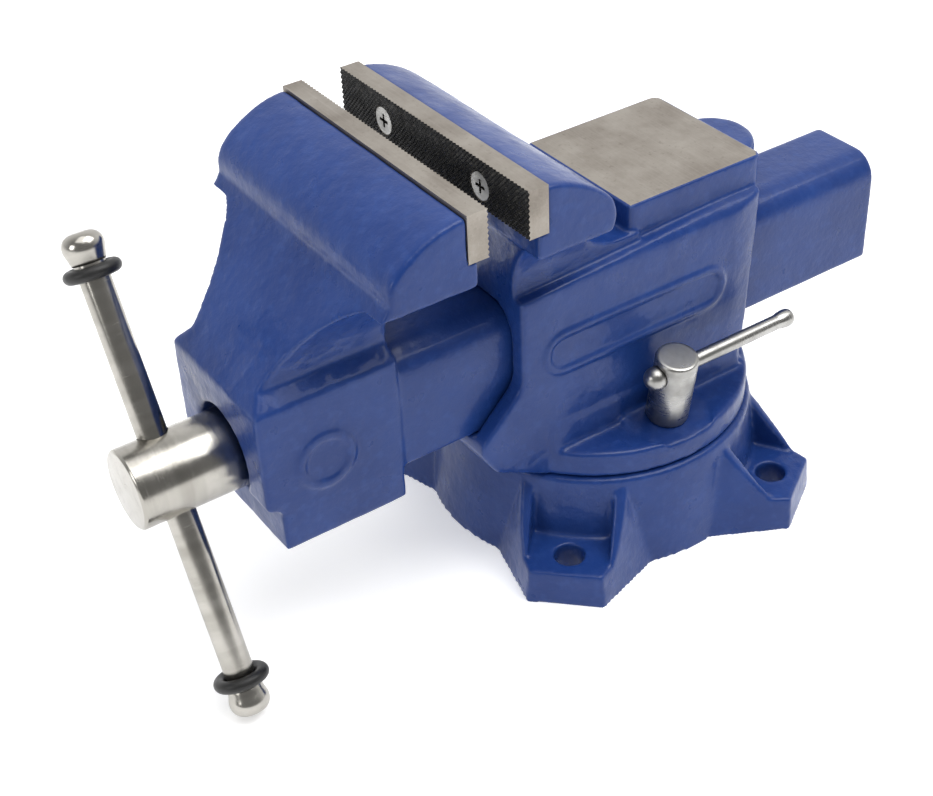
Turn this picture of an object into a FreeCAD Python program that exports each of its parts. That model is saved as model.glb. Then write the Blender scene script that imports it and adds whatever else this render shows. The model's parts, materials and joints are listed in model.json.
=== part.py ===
import FreeCAD, Part
import math
import os

# Bench vise with a swivel base, 127 mm (5 inch) jaws, millimetres.
# +Z is up, Y runs along the slide with the screw handle at -Y, X runs along the jaws.
# The origin is the centre of the swivel base's underside.
# The castings are drawn as a side profile (Y, Z) and a front profile (X, Z), each extruded
# across the other and intersected, because both castings are two-way tapered blocks.

V = FreeCAD.Vector

# ---------------------------------------------------------------- driving dimensions
JAW_WIDTH = 127.0
JAW_GAP = 16.8            # opening between the serrated faces at rest
PLATE_THICK = 9.0
PLATE_HEIGHT = 19.7
JAW_TOP = 197.7           # top of both jaw plates
FRONT_BLOCK = 32.8        # depth of each casting behind its plate
REAR_BLOCK = 31.8
FRONT_CROWN = 0.8         # the front jaw's back is a little fuller than the rear jaw's
LEDGE = 4.3               # how far the casting stands out under each plate
REAR_FACE_Y = -78.0       # serrated face of the rear plate
SCREW_X = 32.8            # jaw plate screws, each side of the middle
SCREW_DROP = 11.4         # below the top of the plate

SPINDLE_Z = 92.6
SHAFT_R = 11.0
HEAD_R = 16.4
HEAD_FRONT_Y = -219.9
RUN_FIT = 0.08            # radial clearance of a shaft in its bore

BAR_HALF = 32.3           # slide bar, an inverted U
BAR_BOTTOM = 74.8
BAR_TOP = 126.3
BAR_REAR_Y = 133.1
BAR_ROUND = 12.0
BAR_SHOULDER_X = -2.0     # the far side of the bar falls away from here,
BAR_SHOULDER_Z = 97.5     # to here on the bar's far face
BAR_WALL = 7.6

BOX_HALF = 33.4           # square front end of the moving jaw
BOX_BOTTOM = 60.5
BOX_FRONT_Y = -178.8
BOX_REAR_Y = -118.3
FRONT_WALL = 18.8

HOUSING_HALF = 41.5       # fixed body round the slide bar
HOUSING_FRONT_Y = -66.3
CHANNEL_GAP = 0.7

ANVIL_HALF = 34.2
ANVIL_FRONT_Y = -8.0
ANVIL_REAR_Y = 62.3
ANVIL_TOP = 152.7
ANVIL_BOTTOM = 138.6      # its apron hangs a little over the shoulders

FLANGE_R = 68.1
FLANGE_BOTTOM = 45.0
FLANGE_TOP = 57.0
BASE_R = 74.65
BASE_TOP_R = 70.0
BASE_TOP = 44.6
SPIGOT_R = 30.0
HUB_R = 27.0

LUG_ANGLES = (45.9, 122.5, -122.5, -45.9)   # from -Y towards +X, seen from above
LUG_HOLE_RADIUS = 83.7
LUG_HOLE_R = 6.45
LUG_END = 97.7
LUG_END_HALF = 16.2
LUG_ROOT_HALF = 35.0
LUG_CREST_HALF = 21.5     # half width across the gussets at the drum, at their top
LUG_ROOT = 64.0
LUG_THICK = 16.0
PAD_HALF = 17.0

LOCK_X = 51.5             # lock bolts, where they leave the flange
LOCK_Z = 57.6
LOCK_TILT = 9.5           # degrees outward, so that the levers clear the body
LOCK_BOLT_R = 6.0
LOCK_NUT_R = 9.1
LOCK_NUT_LENGTH = 33.5
LOCK_NUT_LIFT = 0.04      # oil film between the nut and its seat
LOCK_PAD_R = 19.4
LEVER_R = 3.2
LEVER_HEIGHT = 25.8       # above the nut's foot, along the bolt
LEVER_BALL_R = 5.0
LEVER_BALL_Y = -10.4      # the ball nests in a cup in the nut's side
LEVER_FAR_Y = 60.6

HANDLE_Y = -202.9
HANDLE_TILT = 27.3        # degrees from upright, top end towards -X
HANDLE_R = 6.1
HANDLE_UP = 90.5          # knob centres from the spindle axis
HANDLE_DOWN = 96.0
RING_INSET = 9.7
KNOB_R = 8.25

NUT_HALF = 15.0           # nut block in the channel
NUT_FRONT_Y = -58.0
NUT_REAR_Y = -20.0
NUT_SEAT = 71.0
NUT_BOLT_Y = -39.0
SPINDLE_REAR_Y = 98.0
PIN_R = 2.0

# ---------------------------------------------------------------- small helpers
def wire(points, plane):
    """Closed wire; a point is (a, b), or (a, b, 'arc', c, d) to arrive by an arc through (c, d)."""
    place = {"xz": lambda a, b: V(a, 0, b),
             "yz": lambda a, b: V(0, a, b),
             "xy": lambda a, b: V(a, b, 0)}[plane]
    edges = []
    for i, point in enumerate(points):
        start = points[i - 1]
        a = place(start[0], start[1])
        b = place(point[0], point[1])
        if len(point) > 2:
            edges.append(Part.Arc(a, place(point[3], point[4]), b).toShape())
        else:
            edges.append(Part.LineSegment(a, b).toShape())
    return Part.Wire(edges)


def slab(points, plane, low, high):
    """Extrude a closed outline across its plane from low to high."""
    normal = {"xz": V(0, 1, 0), "yz": V(1, 0, 0), "xy": V(0, 0, 1)}[plane]
    face = Part.Face(wire(points, plane))
    face.translate(normal * low)
    return face.extrude(normal * (high - low))


def mirrored(right):
    """Full outline from the points of its right half, listed from the bottom to the top."""
    left = []
    for i in range(len(right) - 1, -1, -1):
        after = right[i + 1] if i + 1 < len(right) else ()
        if len(after) > 2:
            left.append((-right[i][0], right[i][1], "arc", -after[3], after[4]))
        else:
            left.append((-right[i][0], right[i][1]))
    return right + left


def box(x0, x1, y0, y1, z0, z1):
    return Part.makeBox(x1 - x0, y1 - y0, z1 - z0, V(x0, y0, z0))


def rod(start, end, radius):
    a = V(*start)
    b = V(*end)
    return Part.makeCylinder(radius, (b - a).Length, a, b - a)


def y_rod(y0, y1, radius, x=0.0, z=SPINDLE_Z):
    return rod((x, y0, z), (x, y1, z), radius)


def turned(profile, origin, axis):
    """Solid of revolution; profile is a list of (distance along the axis, radius)."""
    points = [V(r, 0, s) for s, r in profile]
    if profile[0][1] > 0:
        points.insert(0, V(0, 0, profile[0][0]))
    if profile[-1][1] > 0:
        points.append(V(0, 0, profile[-1][0]))
    face = Part.Face(Part.makePolygon(points + [points[0]]))
    solid = face.revolve(V(0, 0, 0), V(0, 0, 1), 360)
    solid.Placement = FreeCAD.Placement(V(*origin), FreeCAD.Rotation(V(0, 0, 1), V(*axis)))
    return solid


def hexagon(across_flats, z0, z1, x, y):
    corner = across_flats / math.sqrt(3)
    points = []
    for i in range(6):
        angle = math.radians(60 * i)
        points.append((x + corner * math.cos(angle), y + corner * math.sin(angle)))
    return slab(points, "xy", z0, z1)


def rounded(shape, radius, chosen):
    """Fillet the edges that chosen(edge) picks; keep the sharp shape where that can't be done."""
    edges = [edge for edge in shape.Edges if chosen(edge)]
    if not edges:
        return shape
    try:
        result = shape.makeFillet(radius, edges)
    except Exception:
        return shape
    if result.isValid() and result.Volume > 0.5 * shape.Volume:
        return result
    return shape


def mid(edge):
    return edge.valueAt((edge.FirstParameter + edge.LastParameter) / 2)


def near(value, target, tolerance=0.05):
    return abs(value - target) < tolerance


def polar(radius, degrees, z=0.0):
    """Point at a radius and an angle from -Y towards +X."""
    angle = math.radians(degrees)
    return V(radius * math.sin(angle), -radius * math.cos(angle), z)


def mirror_x(shape):
    return shape.mirror(V(0, 0, 0), V(1, 0, 0))


# ---------------------------------------------------------------- derived places
FRONT_FACE_Y = REAR_FACE_Y - JAW_GAP
PLATE_BOTTOM = JAW_TOP - PLATE_HEIGHT
REAR_PLATE_BACK = REAR_FACE_Y + PLATE_THICK
FRONT_PLATE_BACK = FRONT_FACE_Y - PLATE_THICK
SCREW_Z = JAW_TOP - SCREW_DROP
JAW_HALF = JAW_WIDTH / 2
BLOCK_HALF = JAW_HALF - 0.3
BLOCK_BOTTOM = 167.0
WALL_INSIDE_Y = BOX_FRONT_Y + FRONT_WALL
HEAD_BACK_Y = BOX_FRONT_Y + 8.0
COLLAR_FRONT_Y = WALL_INSIDE_Y + 15.0
COLLAR_REAR_Y = COLLAR_FRONT_Y + 9.0
PIN_Y = (COLLAR_FRONT_Y + COLLAR_REAR_Y) / 2

TILT = math.radians(LOCK_TILT)
LOCK_AXIS = (math.sin(TILT), 0.0, math.cos(TILT))
HANDLE_AXIS = (-math.sin(math.radians(HANDLE_TILT)), 0.0, math.cos(math.radians(HANDLE_TILT)))


def on_lock_axis(distance):
    """Point on the right-hand lock bolt's axis, measured from the nut's foot."""
    return (LOCK_X + distance * LOCK_AXIS[0], 0.0, LOCK_Z + distance * LOCK_AXIS[2])


def jaw_block(face_y, back_sign, depth, crown):
    """Wide upper block of a jaw, with its ledge under the plate and its rounded back."""
    back = face_y + back_sign * PLATE_THICK
    def behind(distance):
        return back + back_sign * distance
    points = [
        (behind(-LEDGE), BLOCK_BOTTOM),
        (behind(-LEDGE), PLATE_BOTTOM),
        (back, PLATE_BOTTOM),
        (back, JAW_TOP - 0.9),
        (behind(depth - 4.0), 183.3 + crown, "arc", behind(0.47 * depth), 192.2 + crown),
        (behind(depth - 2.1), BLOCK_BOTTOM, "arc", behind(depth), 175.4),
    ]
    block = slab(points, "yz", -BLOCK_HALF, BLOCK_HALF)
    return rounded(block, 1.1, lambda e: near(abs(mid(e).x), BLOCK_HALF)
                   and abs(mid(e).y - back) > 4 and back_sign * (mid(e).y - back) > 0)


def bar_outline(grow, bottom):
    """Outline (X, Z) of the slide bar, grown outward; a negative value gives its hollow."""
    half = BAR_HALF + grow
    top = BAR_TOP + grow
    bend = BAR_ROUND + grow
    corner = bend * (1 - math.sqrt(0.5))
    slope = math.atan2(BAR_TOP - BAR_SHOULDER_Z, BAR_HALF + BAR_SHOULDER_X)
    return [
        (half, bottom),
        (half, top - bend),
        (half - bend, top, "arc", half - corner, top - corner),
        (BAR_SHOULDER_X - grow * math.tan(slope / 2), top),
        (-half, BAR_SHOULDER_Z + grow * math.tan((math.pi / 2 - slope) / 2)),
        (-half, bottom),
    ]


def plate_screw_holes(y0, y1):
    return [y_rod(y0, y1, 4.0, side * SCREW_X, SCREW_Z) for side in (-1, 1)]


# ---------------------------------------------------------------- swivel base
def lug(angle):
    """Bolt-down lug: a tapered foot with a triangular gusset on each side of its pad."""
    def outline(z, end, end_half, root_half):
        corners = [(LUG_ROOT, -root_half), (end, -end_half), (end, end_half), (LUG_ROOT, root_half),
                   (35.0, 20.0), (35.0, -20.0)]
        points = [V(r, v, z) for r, v in corners]
        return Part.makePolygon(points + [points[0]])
    foot = outline(0, LUG_END, LUG_END_HALF, LUG_ROOT_HALF)
    crest = outline(BASE_TOP, LUG_END - 2.6, LUG_END_HALF - 2.6, LUG_CREST_HALF)
    body = Part.makeLoft([foot, crest], True, True)
    above = slab([(20, BASE_TOP - 1.0), (64.5, BASE_TOP - 1.0), (89.0, LUG_THICK), (120, LUG_THICK),
                  (120, 80), (20, 80)], "xz", -60, 60)
    body = body.cut(above)
    pocket = box(60, 120, -PAD_HALF, PAD_HALF, LUG_THICK, 80)
    body = body.cut(pocket)
    body = rounded(body, 0.9, lambda e: mid(e).x > 66)
    body.rotate(V(0, 0, 0), V(0, 0, 1), angle - 90)
    return body


def swivel_base():
    outer = [V(0, 0, 0), V(BASE_R, 0, 0), V(BASE_R - 1.9, 0, 17.0), V(BASE_TOP_R, 0, BASE_TOP - 1.2),
             V(BASE_TOP_R - 1.2, 0, BASE_TOP), V(0, 0, BASE_TOP)]
    cone = Part.Face(Part.makePolygon(outer + [outer[0]])).revolve(V(0, 0, 0), V(0, 0, 1), 360)
    shape = cone
    for angle in LUG_ANGLES:
        shape = shape.fuse(lug(angle))
    spigot = turned([(BASE_TOP - 5, SPIGOT_R), (BASE_TOP + 4.6, SPIGOT_R), (BASE_TOP + 5.4, SPIGOT_R - 0.8)],
                    (0, 0, 0), (0, 0, 1))
    shape = shape.fuse(spigot)
    # hollow underside, with a solid hub that reaches the bench
    hollow = Part.makeCone(61.0, 59.0, 20.0, V(0, 0, -0.01), V(0, 0, 1))
    shape = shape.cut(hollow.cut(Part.makeCone(HUB_R, HUB_R + 1.5, 21.0, V(0, 0, -0.5), V(0, 0, 1))))
    # ring-shaped T-slot, square to the tilted bolts
    def slot_point(along, across):
        x, _, z = on_lock_axis(along)
        return V(x + across * LOCK_AXIS[2], 0, z - across * LOCK_AXIS[0])
    slot = [slot_point(0, -7.2), slot_point(0, 7.2), slot_point(-19.2, 7.2), slot_point(-19.2, 12.2),
            slot_point(-28.6, 12.2), slot_point(-28.6, -12.2), slot_point(-19.2, -12.2),
            slot_point(-19.2, -7.2)]
    ring = Part.Face(Part.makePolygon(slot + [slot[0]])).revolve(V(0, 0, 0), V(0, 0, 1), 360)
    shape = shape.cut(ring)
    # two openings that let the bolt heads in from below
    for side in (-1, 1):
        x, _, _ = on_lock_axis(-25)
        mouth = box(-13, 13, -13, 13, 10, 36)
        mouth.translate(V(0, side * x, 0))
        shape = shape.cut(mouth)
    for angle in LUG_ANGLES:
        shape = shape.cut(Part.makeCylinder(LUG_HOLE_R, 40, polar(LUG_HOLE_RADIUS, angle, -1)))
    return shape.removeSplitter()


# ---------------------------------------------------------------- static body
def housing():
    side = [
        (HOUSING_FRONT_Y, 134.0),
        (HOUSING_FRONT_Y, 98.0),
        (-70.2, 90.5, "arc", -67.4, 94.0),
        (-83.0, 77.4),
        (-85.8, 67.5, "arc", -86.6, 72.4),
        (-80.0, 58.0),
        (-55.0, FLANGE_BOTTOM),
        (50.0, FLANGE_BOTTOM),
        (53.5, 76.0),
        (59.5, 140.4),
    ]
    front = mirrored([
        (HOUSING_HALF, FLANGE_BOTTOM - 1),
        (HOUSING_HALF, 131.8),
        (34.0, 139.4, "arc", 39.7, 137.1),
        (30.0, 140.4),
    ])
    plan = [
        (HOUSING_HALF, -100), (HOUSING_HALF, 33), (35.4, 64, "arc", 40.3, 50),
        (-35.4, 64), (-HOUSING_HALF, 33, "arc", -40.3, 50), (-HOUSING_HALF, -100),
    ]
    block = slab(side, "yz", -60, 60).common(slab(front, "xz", -100, 100))
    return block.common(slab(plan, "xy", 30, 150))


def neck():
    """Upright between the housing and the rear jaw block, flared to the jaw's width."""
    side = [
        (HOUSING_FRONT_Y, 128.0),
        (HOUSING_FRONT_Y, 157.0),
        (REAR_PLATE_BACK - LEDGE, BLOCK_BOTTOM + 0.2, "arc", -68.0, 163.6),
        (REAR_PLATE_BACK - LEDGE, 172.0),
        (-44.0, 174.0),
        (-38.4, 168.6),
        (-17.0, 141.5, "arc", -31.5, 149.0),
        (-4.0, 141.0),
        (-4.0, 128.0),
    ]
    front = mirrored([
        (36.0, 126.0),
        (36.0, 140.0),
        (54.0, BLOCK_BOTTOM, "arc", 42.4, 157.0),
        (BLOCK_HALF - 0.6, BLOCK_BOTTOM + 0.2),
        (BLOCK_HALF - 0.6, 175.0),
    ])
    return slab(side, "yz", -JAW_HALF, JAW_HALF).common(slab(front, "xz", -90, 0))


def lock_seat(sign):
    """Tilted disc under a lock nut, as (added pad, tool that clears the room above it)."""
    foot = V(*on_lock_axis(0))
    axis = V(*LOCK_AXIS)
    pad = Part.makeCylinder(LOCK_PAD_R, 9.0, foot - axis * 9.0, axis)
    room = Part.makeCylinder(LOCK_PAD_R, 30.0, foot, axis)
    room = room.cut(box(-100, HOUSING_HALF + 0.6, -60, 60, 0, 200))
    if sign < 0:
        return mirror_x(pad), mirror_x(room)
    return pad, room


def plinth():
    """Shallow skirt along the foot of the housing."""
    half = mirrored([(44.0, FLANGE_TOP - 3), (43.6, FLANGE_TOP + 1), (42.2, 69.0), (41.0, 70.0)])
    return slab(half, "xz", -55.0, 48.0)


def static_body():
    flange = turned([(FLANGE_BOTTOM, FLANGE_R - 0.6), (FLANGE_BOTTOM + 0.6, FLANGE_R),
                     (FLANGE_TOP - 1.4, FLANGE_R), (FLANGE_TOP - 0.4, FLANGE_R - 0.4),
                     (FLANGE_TOP, FLANGE_R - 1.4)], (0, 0, 0), (0, 0, 1))
    skirt = plinth().common(Part.makeCylinder(FLANGE_R, 100, V(0, 0, 0)))
    shape = flange
    seats = [lock_seat(sign) for sign in (-1, 1)]
    for pad, room in seats:
        shape = shape.fuse(pad.common(Part.makeCylinder(FLANGE_R, 100, V(0, 0, FLANGE_BOTTOM))))
    shape = shape.fuse(skirt)
    for pad, room in seats:
        shape = shape.cut(room)
    anvil = box(-ANVIL_HALF, ANVIL_HALF, ANVIL_FRONT_Y, ANVIL_REAR_Y, ANVIL_BOTTOM, ANVIL_TOP)
    upright = (ANVIL_TOP + ANVIL_BOTTOM) / 2
    anvil = rounded(anvil, 4.5, lambda e: near(mid(e).z, upright) and near(mid(e).y, ANVIL_REAR_Y))
    anvil = rounded(anvil, 2.0, lambda e: near(mid(e).z, upright) and near(mid(e).y, ANVIL_FRONT_Y))
    anvil = rounded(anvil, 0.5, lambda e: near(mid(e).z, ANVIL_TOP))
    lobe = turned([(127.6, 18.5), (143.5, 18.5), (145.2, 18.0), (146.2, 16.6)], (0, 64.5, 0), (0, 0, 1))
    for piece in (housing(), neck(), jaw_block(REAR_FACE_Y, 1, REAR_BLOCK, 0.0), anvil, lobe):
        shape = shape.fuse(piece)
    # channel for the slide bar
    channel = slab(bar_outline(CHANNEL_GAP, BAR_BOTTOM - 0.5), "xz", -100, 100)
    shape = shape.cut(channel)
    # seat and bolt hole of the screw nut, spigot recess, lock bolt holes
    shape = shape.cut(box(-NUT_HALF - 0.05, NUT_HALF + 0.05, NUT_FRONT_Y - 0.05, NUT_REAR_Y + 0.05,
                          NUT_SEAT, BAR_BOTTOM))
    shape = shape.cut(Part.makeCylinder(5.3, 60, V(0, NUT_BOLT_Y, 40)))
    shape = shape.cut(Part.makeCylinder(10.0, 12.5, V(0, NUT_BOLT_Y, FLANGE_BOTTOM - 1)))
    shape = shape.cut(Part.makeCylinder(SPIGOT_R + RUN_FIT, 6.0, V(0, 0, FLANGE_BOTTOM - 0.01)))
    hole = rod(on_lock_axis(-40), on_lock_axis(20), LOCK_BOLT_R + 0.5)
    for tool in (hole, mirror_x(hole)):
        shape = shape.cut(tool)
    for tool in plate_screw_holes(REAR_PLATE_BACK - 1, REAR_PLATE_BACK + 14.5):
        shape = shape.cut(tool)
    return shape.removeSplitter()


# ---------------------------------------------------------------- moving jaw
def jaw_front():
    """Box end, sloped front and flared flanks of the moving jaw."""
    side = [
        (-172.8, BOX_BOTTOM),
        (-172.8, 75.5),
        (-177.0, 81.6, "arc", -173.7, 80.2),
        (BOX_FRONT_Y, 84.0, "arc", -178.2, 82.4),
        (BOX_FRONT_Y, 125.6),
        (-139.0, 168.2, "arc", -158.4, 149.8),
        (-136.0, 173.0),
        (-104.0, 173.0),
        (FRONT_PLATE_BACK + LEDGE, BLOCK_BOTTOM + 0.2),
        (BOX_REAR_Y, 152.0, "arc", -114.0, 161.6),
        (BOX_REAR_Y, BOX_BOTTOM),
    ]
    front = mirrored([
        (BOX_HALF, BOX_BOTTOM),
        (BOX_HALF, 125.9),
        (26.6, 132.6),
        (52.2, BLOCK_BOTTOM, "arc", 34.3, 152.5),
        (BLOCK_HALF - 0.6, BLOCK_BOTTOM + 0.2),
        (BLOCK_HALF - 0.6, 176.0),
    ])
    block = slab(side, "yz", -JAW_HALF, JAW_HALF).common(slab(front, "xz", -200, -90))
    def box_corner(edge):
        point = mid(edge)
        upright = near(abs(edge.tangentAt(edge.FirstParameter).z), 1.0, 0.01)
        return upright and near(abs(point.x), BOX_HALF) and point.z < 126
    return rounded(block, 1.2, box_corner)


def moving_jaw():
    bar = slab(bar_outline(0.0, BAR_BOTTOM), "xz", BOX_REAR_Y - 10, BAR_REAR_Y)
    bar = rounded(bar, 1.0, lambda e: near(mid(e).y, BAR_REAR_Y))
    shape = jaw_front().fuse(bar).fuse(jaw_block(FRONT_FACE_Y, -1, FRONT_BLOCK, FRONT_CROWN))
    hollow = slab(bar_outline(-BAR_WALL, 40.0), "xz", WALL_INSIDE_Y, BAR_REAR_Y + 5)
    shape = shape.cut(hollow)
    shape = shape.cut(y_rod(BOX_FRONT_Y - 1, WALL_INSIDE_Y + 1, SHAFT_R + RUN_FIT))
    mouth = turned([(0, 20.0), (0.9, 19.1), (10.0, 19.1)], (0, BOX_FRONT_Y, SPINDLE_Z), (0, 1, 0))
    shape = shape.cut(mouth)
    for tool in plate_screw_holes(FRONT_PLATE_BACK + 1, FRONT_PLATE_BACK - 14.5):
        shape = shape.cut(tool)
    return shape.removeSplitter()


# ---------------------------------------------------------------- jaw plates and screws
def jaw_plate(face_y, back_sign):
    low, high = sorted((face_y, face_y + back_sign * PLATE_THICK))
    plate = box(-JAW_HALF, JAW_HALF, low, high, PLATE_BOTTOM, JAW_TOP)
    plate = rounded(plate, 0.4, lambda e: near(mid(e).y, face_y + back_sign * PLATE_THICK) is False
                    and near(mid(e).y, face_y) is False)
    for side in (-1, 1):
        sink = turned([(-1, 5.9), (0.5, 5.9), (3.1, 3.3), (12, 3.3)],
                      (side * SCREW_X, face_y, SCREW_Z), (0, back_sign, 0))
        plate = plate.cut(sink)
    return plate


def jaw_screws(face_y, back_sign):
    """Two countersunk screws with cross recesses."""
    pieces = []
    for side in (-1, 1):
        screw = turned([(0.7, 5.6), (3.1, 3.2), (9.0, 3.2), (9.0, 3.9), (23.0, 3.9)],
                       (side * SCREW_X, face_y, SCREW_Z), (0, back_sign, 0))
        low, high = sorted((face_y + back_sign * 0.2, face_y + back_sign * 2.4))
        for half_x, half_z in ((2.9, 0.65), (0.65, 2.9)):
            x = side * SCREW_X
            screw = screw.cut(box(x - half_x, x + half_x, low, high, SCREW_Z - half_z, SCREW_Z + half_z))
        pieces.append(screw)
    return Part.makeCompound(pieces)


# ---------------------------------------------------------------- screw, nut and retainer
def spindle_nut():
    """Nut block bolted into the floor of the channel."""
    block = box(-NUT_HALF, NUT_HALF, NUT_FRONT_Y, NUT_REAR_Y, NUT_SEAT, SPINDLE_Z)
    block = block.fuse(y_rod(NUT_FRONT_Y, NUT_REAR_Y, NUT_HALF))
    block = block.cut(y_rod(NUT_FRONT_Y - 1, NUT_REAR_Y + 1, SHAFT_R + RUN_FIT))
    return block.cut(Part.makeCylinder(5.0, 9.0, V(0, NUT_BOLT_Y, NUT_SEAT - 0.5))).removeSplitter()


def spindle_nut_bolt():
    """Hexagon bolt from below, through the floor of the body into the nut block."""
    head = hexagon(15.5, FLANGE_BOTTOM + 4.6, FLANGE_BOTTOM + 11.5, 0, NUT_BOLT_Y)
    shank = Part.makeCylinder(4.9, NUT_SEAT + 8.0 - FLANGE_BOTTOM - 11.5, V(0, NUT_BOLT_Y, FLANGE_BOTTOM + 11.5))
    return head.fuse(shank)


def spindle():
    head_length = HEAD_BACK_Y - HEAD_FRONT_Y
    length = SPINDLE_REAR_Y - HEAD_FRONT_Y
    profile = [(0, HEAD_R - 2.0), (0.25, HEAD_R - 1.1), (0.9, HEAD_R - 0.35), (2.0, HEAD_R),
               (head_length, HEAD_R), (head_length, SHAFT_R), (length - 2.0, SHAFT_R), (length, SHAFT_R - 2.0)]
    shape = turned(profile, (0, HEAD_FRONT_Y, SPINDLE_Z), (0, 1, 0))
    hole = rod(handle_point(-30), handle_point(30), HANDLE_R + 0.1)
    shape = shape.cut(hole)
    return shape.cut(rod((0, PIN_Y, SPINDLE_Z - 20), (0, PIN_Y, SPINDLE_Z + 20), PIN_R))


def ring(y0, y1, inner, outer):
    return y_rod(y0, y1, outer).cut(y_rod(y0 - 1, y1 + 1, inner))


def retainer_spring():
    """Closed-end compression spring, three and a half coils, with square-cut ends."""
    start = WALL_INSIDE_Y + 2.7
    height = COLLAR_FRONT_Y - start
    wire_r = 1.5
    mean_r = 14.0
    pitch = (height - 2 * wire_r) / 3.5
    helix = Part.makeHelix(pitch, height - 2 * wire_r, mean_r)
    circle = Part.Wire([Part.makeCircle(wire_r, V(mean_r, 0, 0), V(0, 1, 0))])
    coil = Part.Wire(helix).makePipeShell([circle], True, True)
    coil.Placement = FreeCAD.Placement(V(0, start + wire_r, SPINDLE_Z),
                                       FreeCAD.Rotation(V(0, 0, 1), V(0, 1, 0)))
    return coil


# ---------------------------------------------------------------- handle
def handle_point(distance):
    return (distance * HANDLE_AXIS[0], HANDLE_Y, SPINDLE_Z + distance * HANDLE_AXIS[2])


def handle_bar():
    return rod(handle_point(-HANDLE_DOWN - 3.0), handle_point(HANDLE_UP + 3.0), HANDLE_R)


def handle_knob(sign):
    """Flattened ball on the bar's end, with a blind hole for the bar."""
    distance = HANDLE_UP if sign > 0 else -HANDLE_DOWN
    profile = [(-6.4, 6.9)]
    for degrees in range(-30, 61, 6):
        angle = math.radians(degrees)
        profile.append((6.2 * math.sin(angle), KNOB_R * math.cos(angle)))
    axis = tuple(sign * a for a in HANDLE_AXIS)
    knob = turned(profile, handle_point(distance), axis)
    return knob.cut(rod(handle_point(distance - sign * 12), handle_point(distance + sign * 3.0), HANDLE_R))


def handle_ring(sign):
    distance = (HANDLE_UP - RING_INSET) if sign > 0 else -(HANDLE_DOWN - RING_INSET)
    return Part.makeTorus(8.75, 2.55, V(*handle_point(distance)), V(*HANDLE_AXIS))


# ---------------------------------------------------------------- swivel locks (right-hand set)
def lock_bolt():
    """T-head bolt standing in the ring slot of the base."""
    head = box(-9.5, 9.5, -9.5, 9.5, -28.0, -20.0)
    head = head.fuse(Part.makeCylinder(LOCK_BOLT_R, 36.0, V(0, 0, -21.0)))
    head.Placement = FreeCAD.Placement(V(*on_lock_axis(0)), FreeCAD.Rotation(V(0, 0, 1), V(*LOCK_AXIS)))
    return head


def lever_y(distance):
    x, _, z = on_lock_axis(LEVER_HEIGHT)
    return (x, distance, z)


def lock_nut():
    """Cylindrical nut with a cross hole for its lever."""
    shape = turned([(LOCK_NUT_LIFT, LOCK_NUT_R - 0.7), (0.7, LOCK_NUT_R), (LOCK_NUT_LENGTH - 1.3, LOCK_NUT_R),
                    (LOCK_NUT_LENGTH - 0.4, LOCK_NUT_R - 0.45), (LOCK_NUT_LENGTH, LOCK_NUT_R - 1.5)],
                   on_lock_axis(0), LOCK_AXIS)
    shape = shape.cut(rod(on_lock_axis(-1), on_lock_axis(16.5), LOCK_BOLT_R + 0.06))
    shape = shape.cut(Part.makeSphere(LEVER_BALL_R + 0.3, V(*lever_y(LEVER_BALL_Y))))
    return shape.cut(rod(lever_y(-20), lever_y(20), LEVER_R + 0.1))


def lock_lever():
    """Sliding bar, upset into a small knob at its far end."""
    bar = rod(lever_y(LEVER_BALL_Y), lever_y(LEVER_FAR_Y), LEVER_R)
    knob = turned([(-3.6, 3.2), (-2.6, 3.6), (-1.2, 3.9), (1.4, 3.9), (2.8, 3.4), (3.6, 2.4)],
                  lever_y(LEVER_FAR_Y), (0, 1, 0))
    return bar.fuse(knob)


def lock_lever_ball():
    """Ball pressed on the near end of the bar."""
    ball = Part.makeSphere(LEVER_BALL_R, V(*lever_y(LEVER_BALL_Y)))
    return ball.cut(rod(lever_y(LEVER_BALL_Y), lever_y(LEVER_BALL_Y + 10), LEVER_R))


# ---------------------------------------------------------------- all nodes
def build():
    nodes = {
        "swivel_base": swivel_base(),
        "static_body": static_body(),
        "rear_jaw_plate": jaw_plate(REAR_FACE_Y, 1),
        "rear_jaw_screws": jaw_screws(REAR_FACE_Y, 1),
        "spindle_nut": spindle_nut(),
        "spindle_nut_bolt": spindle_nut_bolt(),
        "moving_jaw": moving_jaw(),
        "front_jaw_plate": jaw_plate(FRONT_FACE_Y, -1),
        "front_jaw_screws": jaw_screws(FRONT_FACE_Y, -1),
        "thrust_washer": ring(HEAD_BACK_Y, HEAD_BACK_Y + 2.0, SHAFT_R + 0.3, 17.8),
        "spindle": spindle(),
        "retainer_washer": ring(WALL_INSIDE_Y + 0.2, WALL_INSIDE_Y + 2.7, SHAFT_R + 0.3, 17.5),
        "retainer_spring": retainer_spring(),
        "retainer_collar": ring(COLLAR_FRONT_Y, COLLAR_REAR_Y, SHAFT_R, 17.0).cut(
            rod((0, PIN_Y, SPINDLE_Z - 20), (0, PIN_Y, SPINDLE_Z + 20), PIN_R)),
        "retainer_pin": rod((0, PIN_Y, SPINDLE_Z - 16.8), (0, PIN_Y, SPINDLE_Z + 16.8), PIN_R),
        "handle_bar": handle_bar(),
        "handle_knob_upper": handle_knob(1),
        "handle_knob_lower": handle_knob(-1),
        "handle_ring_upper": handle_ring(1),
        "handle_ring_lower": handle_ring(-1),
    }
    for name, make in (("lock_bolt", lock_bolt), ("lock_nut", lock_nut),
                       ("lock_lever", lock_lever), ("lock_lever_ball", lock_lever_ball)):
        right = make()
        nodes[name + "_right"] = right
        nodes[name + "_left"] = mirror_x(right)
    return nodes


def main():
    os.makedirs("parts", exist_ok=True)
    for name, shape in build().items():
        shape.exportStep("parts/" + name + ".step")
        print(name, "solids", len(shape.Solids), "valid", shape.isValid(),
              "volume", round(shape.Volume / 1000, 2), "cm3")


main()
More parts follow.
